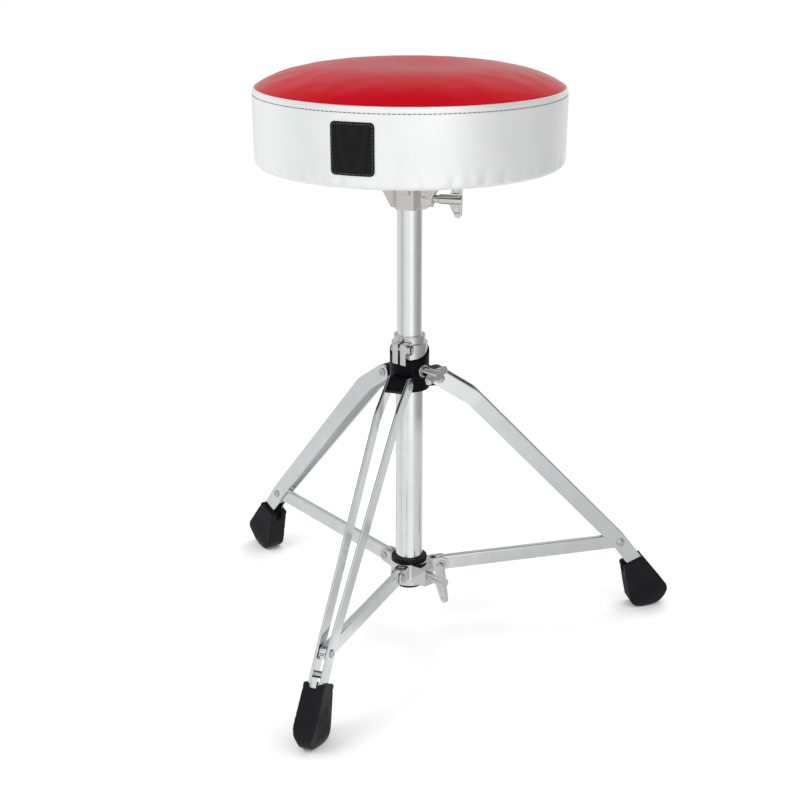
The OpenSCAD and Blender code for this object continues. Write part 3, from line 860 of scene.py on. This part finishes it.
def inflated(grid):
    """The covers pulled over the foam: a cloth simulation with pressure, held at seams and hem."""
    start = grid.copy()
    start[:, :, 2] -= np.array([0.5 if k == "top" else 0.0 for k in KINDS])[:, None]
    mesh = bpy.data.meshes.new("cushion_sim")
    points = start.reshape(-1, 3) * MM
    mesh.from_pydata([tuple(v) for v in points], [], grid_faces(len(ROWS), SEGMENTS, True, True))
    sim = bpy.data.objects.new("cushion_sim", mesh)
    scene.collection.objects.link(sim)
    held = sim.vertex_groups.new(name="held")
    loose = sim.vertex_groups.new(name="gather")
    for i, kind in enumerate(KINDS):
        ring = list(range(i * SEGMENTS, (i + 1) * SEGMENTS))
        if kind in ("crease", "seam", "under", "closing"):
            held.add(ring, 1.0, "REPLACE")
        if kind in ("corner", "band") and ROWS[i][2] < SEAT_LOW + 22:
            loose.add(ring, 1.0, "REPLACE")
    cloth = sim.modifiers.new("cloth", "CLOTH")
    settings = cloth.settings
    settings.quality = 5
    settings.mass = 0.4
    settings.tension_stiffness = settings.compression_stiffness = 12
    settings.shear_stiffness = 6
    settings.bending_stiffness = 0.8
    settings.use_pressure = True
    settings.uniform_pressure_force = 4
    settings.vertex_group_mass = "held"
    settings.vertex_group_shrink = "gather"
    settings.shrink_min, settings.shrink_max = 0.0, -0.03
    settings.effector_weights.gravity = 0
    cloth.collision_settings.use_collision = False
    cloth.point_cache.frame_start, cloth.point_cache.frame_end = 1, 20
    for step in range(1, 21):
        scene.frame_set(step)
    graph = bpy.context.evaluated_depsgraph_get()
    done = bpy.data.meshes.new_from_object(sim.evaluated_get(graph))
    co = np.empty(len(done.vertices) * 3)
    done.vertices.foreach_get("co", co)
    sim.modifiers.clear()
    bpy.data.objects.remove(sim)
    scene.frame_set(1)
    moved = co.reshape(start.shape) / MM - start
    most = np.array([{"top": 2.2, "strip": 0.3, "band": 1.3, "corner": 1.3}.get(k, 0.0) for k in KINDS])
    size = np.linalg.norm(moved, axis=2)
    limit = most[:, None] * np.tanh(size / np.maximum(most[:, None], 1e-6))
    moved *= np.where(size > 1e-9, limit / np.maximum(size, 1e-9), 0)[:, :, None]
    return start + moved


CUSHION = refined(inflated(seat_grid()))
OUTWARD = CUSHION[:, :, :2] / np.linalg.norm(CUSHION[:, :, :2], axis=2, keepdims=True)
CUSHION[:, :, :2] += OUTWARD * puckers(CUSHION)[:, :, None]


def cover_piece(name, kinds, slot, nodes, start_cap=False):
    picked = [i for i, k in enumerate(KINDS) if k in kinds]
    first, last = picked[0], picked[-1]
    rows = CUSHION[first:last + 1]
    verts = [tuple(v) for v in rows.reshape(-1, 3)]
    faces = grid_faces(last - first + 1, COLUMNS, start_cap)
    piece = add_piece(name, verts, faces, slot, "seat", nodes)
    m = piece.modifiers.new("smooth", "SUBSURF")
    m.levels = m.render_levels = 1
    m.use_limit_surface = False
    m = piece.modifiers.new("thickness", "SOLIDIFY")
    m.thickness, m.offset = 1.2 * MM, -1
    return piece


cover_piece("seat_top_red", ("top", "crease"), "red_vinyl", ["seat_top_cover"], True)
cover_piece("seat_band_white", ("crease", "strip", "seam", "band", "corner", "under"), "white_vinyl",
            ["seat_side_band", "seat_piping"])


def capsule(centre, ahead, length, radius, around=8):
    """A short thread or wire with round ends."""
    half = length / 2 - radius
    line = [(0, -half - radius), (radius * 0.7, -half - radius * 0.7), (radius, -half),
            (radius, half), (radius * 0.7, half + radius * 0.7), (0, half + radius)]
    return lathe(line, around, origin=centre, axis=ahead)


def seam_stitches():
    row = KINDS.index("seam")
    ring = CUSHION[row]
    count = 212
    shapes = []
    for k in range(count):
        a = 2 * math.pi * (k + 0.5) / count
        at = ring[int(round(a / (2 * math.pi) * COLUMNS)) % COLUMNS]
        r = math.hypot(at[0], at[1]) + 0.1
        centre = (r * math.cos(a), r * math.sin(a), at[2] + rng.uniform(-0.08, 0.08))
        ahead = (-math.sin(a), math.cos(a), rng.uniform(-0.03, 0.03))
        shapes.append(capsule(centre, ahead, 3.7, 0.42, 6))
    add_piece("seam_stitches", *join(*shapes), "black_badge", "seat", material=SEAM_THREAD)


seam_stitches()


def surface_radius(angle, z):
    """Radius of the finished band at an angle and a height."""
    rows = [i for i, k in enumerate(KINDS) if k in ("band", "corner")]
    column = int(round((angle % (2 * math.pi)) / (2 * math.pi) * COLUMNS)) % COLUMNS
    radii = [math.hypot(*CUSHION[i, column, :2]) for i in rows]
    heights = [CUSHION[i, column, 2] for i in rows]
    return float(np.interp(z, heights[::-1], radii[::-1]))


def badge():
    """A blank woven patch with a raised, stitched border and no mark."""
    low, high = box_mm("seat_badge")
    half_w, half_h, mid = (high[0] - low[0]) / 2, (high[2] - low[2]) / 2, (low[2] + high[2]) / 2
    # distance in from the edge, and height above the band
    layers = [(0.0, -0.5), (0.0, 0.7), (0.25, 1.05), (0.7, 1.2), (2.9, 1.2), (3.3, 1.05),
              (3.6, 0.75), (4.6, 0.7), (8, 0.7), (12, 0.75), (16, 0.75), (19.5, 0.75)]
    count, centre = 96, -math.pi / 2

    def on_band(u, v, h):
        a = centre + u / SEAT_R
        r = surface_radius(a, mid + v) + h
        return (r * math.cos(a), r * math.sin(a), mid + v)

    def outline(inset):
        w, t = half_w - inset, half_h - inset
        corner = max(4.0 - inset * 0.8, 0.4)
        loop = rounded_rectangle(w, t, corner, 7)
        marks, total = [0.0], 0.0
        closed = loop + loop[:1]
        for a, b in zip(closed, closed[1:]):
            total += math.hypot(b[0] - a[0], b[1] - a[1])
            marks.append(total)
        places = [total * k / count for k in range(count)]
        return list(zip(np.interp(places, marks, [p[0] for p in closed]),
                        np.interp(places, marks, [p[1] for p in closed])))

    sections = [[on_band(u, v, h) for u, v in outline(inset)] for inset, h in layers]
    even_shading(add_piece("seat_badge_patch", *loft(sections), "black_badge", "seat", ["seat_badge"]))
    shapes = []
    line = outline(1.8)
    for k in range(0, count, 2):
        (u0, v0), (u1, v1) = line[k], line[(k + 1) % count]
        a, b = Vector(on_band(u0, v0, 1.25)), Vector(on_band(u1, v1, 1.25))
        shapes.append(capsule((a + b) / 2, b - a, (b - a).length * 1.35, 0.28, 6))
    add_piece("badge_stitches", *join(*shapes), "black_badge", "seat", material=BADGE_THREAD)


badge()


def dust_cover():
    """Black cloth stapled under the seat, a little wavy between its staples."""
    low, high = box_mm("seat_dust_cover")
    radius, z = high[0], low[2]
    wave, thickness = 0.35, 0.45
    rings, around = [20, 40, 60, 80, 95, 108, 118, 125, 130, 132.5, radius], 192
    verts = []
    for top in (False, True):
        for r in rings:
            for k in range(around):
                a = 2 * math.pi * k / around
                pull = wave * math.cos(24 * a) * float(smoothstep((r - 100) / 28))
                middle = float(smoothstep((r - 50) / 20)) * (1 - float(smoothstep((r - 112) / 16)))
                sag = wave * math.sin(3 * a + 0.6) * middle
                edge = r + (0.25 * math.sin(61 * a) if r == radius else 0)
                up = z + (thickness if top else 0) + min(pull + sag, 0.1)
                verts.append((edge * math.cos(a), edge * math.sin(a), up))
    count, faces = len(rings), []
    for layer in (0, 1):
        base = layer * count * around
        for i in range(count - 1):
            for k in range(around):
                n = (k + 1) % around
                faces.append((base + i * around + k, base + i * around + n,
                              base + (i + 1) * around + n, base + (i + 1) * around + k))
    for i in (0, count - 1):
        for k in range(around):
            n = (k + 1) % around
            faces.append((i * around + k, i * around + n, (count + i) * around + n, (count + i) * around + k))
    add_piece("dust_cover_cloth", verts, faces, "black_fabric", "seat", ["seat_dust_cover"])
    shapes = []
    for k in range(24):
        a = math.radians(15 * k)
        centre = (131.2 * math.cos(a), 131.2 * math.sin(a), z - 0.25)
        shapes.append(capsule(centre, (-math.sin(a), math.cos(a), 0), 9, 0.5, 8))
    add_piece("dust_cover_staple_wires", *join(*shapes), "steel_hardware", "seat", ["dust_cover_staples"])


dust_cover()

for node, piece in NODES.items():
    for item in piece.material_slots:
        item.material = MATERIALS[SLOT_OF[node]]


# ---------- stage, light and camera ----------

def stage():
    floor_mesh = bpy.data.meshes.new("floor")
    size = 30
    corners = [(-size, -size, 0), (size, -size, 0), (size, size, 0), (-size, size, 0)]
    floor_mesh.from_pydata(corners, [], [(0, 1, 2, 3)])
    s = Shader("floor_paper", Roughness=0.9, Specular_IOR_Level=0.0)
    s.set("Base Color", s.colours(s.noise(3, 2, 0.5), (0.3, grey(0.93)), (0.7, grey(0.94))))
    floor_mesh.materials.append(s.done())
    floor = bpy.data.objects.new("floor", floor_mesh)
    scene.collection.objects.link(floor)

    # studio walls that only the gloss sees: light ahead of the object's front, greyer to its right
    front = math.degrees(math.atan2(CAMERA_AT[1], CAMERA_AT[0]))
    wall = [(0.0, 0.0015), (0.62, 0.0015), (0.62, 0.7), (0.6, 1.0), (0.5, 1.35), (0.3, 1.55), (0.0, 1.62)]
    verts, faces = lathe([(r / MM, z / MM) for r, z in soften(wall, [0, 0.05, 0, 0.2, 0.2, 0.2, 0], 3)], 96)
    tent_mesh = bpy.data.meshes.new("reflection_tent")
    tent_mesh.from_pydata([tuple(c * MM for c in v) for v in verts], [], faces)
    material = bpy.data.materials.new("reflection_tent")
    material.use_nodes = True
    tree = material.node_tree
    tree.nodes.clear()

    def node(kind, **props):
        n = tree.nodes.new(kind)
        for key, value in props.items():
            setattr(n, key, value)
        return n

    coords = node("ShaderNodeTexCoord")
    spin = node("ShaderNodeVectorRotate", rotation_type="Z_AXIS")
    spin.inputs["Angle"].default_value = math.radians(-front)
    parts = node("ShaderNodeSeparateXYZ")
    turn = node("ShaderNodeMath", operation="ARCTAN2")
    share = node("ShaderNodeMapRange")
    share.inputs["From Min"].default_value, share.inputs["From Max"].default_value = -math.pi, math.pi
    ramp = node("ShaderNodeValToRGB")
    # degrees to the right of the camera, and brightness there
    stops = [(-180, 0.5), (-142, 0.74), (-100, 0.74), (-70, 0.54), (-56, 0.7), (-30, 0.83), (-4, 0.88),
             (12, 1.04), (26, 1.0), (40, 0.66), (58, 0.47), (80, 0.38), (108, 0.35), (122, 0.45),
             (144, 0.8), (180, 0.5)]
    elements = ramp.color_ramp.elements
    while len(elements) < len(stops):
        elements.new(0.5)
    for element, (degrees, bright) in zip(elements, stops):
        element.position = (degrees + 180) / 360
        element.color = (bright, bright, bright, 1)
    # the ceiling is dark behind the object and bright on the camera's side; the paper below is plainer
    lift = node("ShaderNodeMath", operation="DIVIDE")
    lift.inputs[1].default_value = 2.0
    raised = node("ShaderNodeValToRGB")
    steps = [(0.6, 0.97), (0.8, 0.74), (1.0, 0.62), (1.25, 0.26), (1.4, 0.05), (1.58, 0.0)]
    while len(raised.color_ramp.elements) < len(steps):
        raised.color_ramp.elements.new(0.5)
    for element, (height, bright) in zip(raised.color_ramp.elements, steps):
        element.position, element.color = height / 2, (bright, bright, bright, 1)
    ahead = node("ShaderNodeMapRange")
    ahead.inputs["From Min"].default_value, ahead.inputs["From Max"].default_value = 0.2, 0.42
    strongest = node("ShaderNodeMath", operation="MAXIMUM")
    paper = node("ShaderNodeMapRange")
    paper.inputs["From Min"].default_value, paper.inputs["From Max"].default_value = 0.003, 0.03
    paper.inputs["To Min"].default_value, paper.inputs["To Max"].default_value = 0.55, 0.0
    mixed = node("ShaderNodeMix", data_type="RGBA")
    mixed.inputs["B"].default_value = (0.84, 0.84, 0.84, 1)
    glow = node("ShaderNodeEmission")
    out = node("ShaderNodeOutputMaterial")
    link = tree.links.new
    link(coords.outputs["Object"], spin.inputs["Vector"])
    link(spin.outputs["Vector"], parts.inputs["Vector"])
    link(parts.outputs["Y"], turn.inputs[0])
    link(parts.outputs["X"], turn.inputs[1])
    link(turn.outputs[0], share.inputs["Value"])
    link(share.outputs["Result"], ramp.inputs["Fac"])
    link(parts.outputs["Z"], paper.inputs["Value"])
    link(paper.outputs["Result"], mixed.inputs["Factor"])
    link(ramp.outputs["Color"], mixed.inputs["A"])
    link(mixed.outputs["Result"], glow.inputs["Color"])
    link(parts.outputs["Z"], lift.inputs[0])
    link(lift.outputs[0], raised.inputs["Fac"])
    link(parts.outputs["X"], ahead.inputs["Value"])
    link(raised.outputs["Color"], strongest.inputs[0])
    link(ahead.outputs["Result"], strongest.inputs[1])
    link(strongest.outputs[0], glow.inputs["Strength"])
    link(glow.outputs[0], out.inputs["Surface"])
    material.cycles.emission_sampling = "NONE"
    tent_mesh.materials.append(material)
    tent = bpy.data.objects.new("reflection_tent", tent_mesh)
    scene.collection.objects.link(tent)
    tent.visible_camera = tent.visible_diffuse = tent.visible_shadow = tent.visible_transmission = False

    world = bpy.data.worlds.new("studio")
    scene.world = world
    world.use_nodes = True
    background = world.node_tree.nodes["Background"]
    background.inputs["Color"].default_value = (1.0, 1.0, 1.0, 1)
    background.inputs["Strength"].default_value = 1.08

    def softbox(name, at, target, size, power):
        data = bpy.data.lights.new(name, "AREA")
        data.shape, data.size, data.energy = "DISK", size, power
        lamp = bpy.data.objects.new(name, data)
        lamp.location = at
        lamp.rotation_euler = (Vector(target) - Vector(at)).to_track_quat("-Z", "Y").to_euler()
        lamp.visible_camera = lamp.visible_glossy = False
        scene.collection.objects.link(lamp)

    softbox("key_left", (-1.3, -1.5, 1.7), (0, 0, 0.35), 1.2, 14)
    softbox("top_back", (0.3, 1.2, 2.0), (0, 0, 0.3), 1.4, 10)


CAMERA_AT = (0.5088, -1.4212, 0.7653)


def camera():
    down, yaw, turn = math.radians(18.73), math.radians(-0.361), math.radians(19.706)
    ahead = Vector((math.sin(yaw) * math.cos(down), math.cos(yaw) * math.cos(down), -math.sin(down)))
    ahead.rotate(Matrix.Rotation(turn, 3, "Z"))
    data = bpy.data.cameras.new("camera")
    data.lens, data.sensor_width = 69.4, 36
    data.clip_start, data.clip_end = 0.05, 100
    view = bpy.data.objects.new("camera", data)
    view.location = CAMERA_AT
    view.rotation_euler = ahead.to_track_quat("-Z", "Y").to_euler()
    scene.collection.objects.link(view)
    scene.camera = view


stage()
camera()
scene.view_settings.view_transform = "Standard"
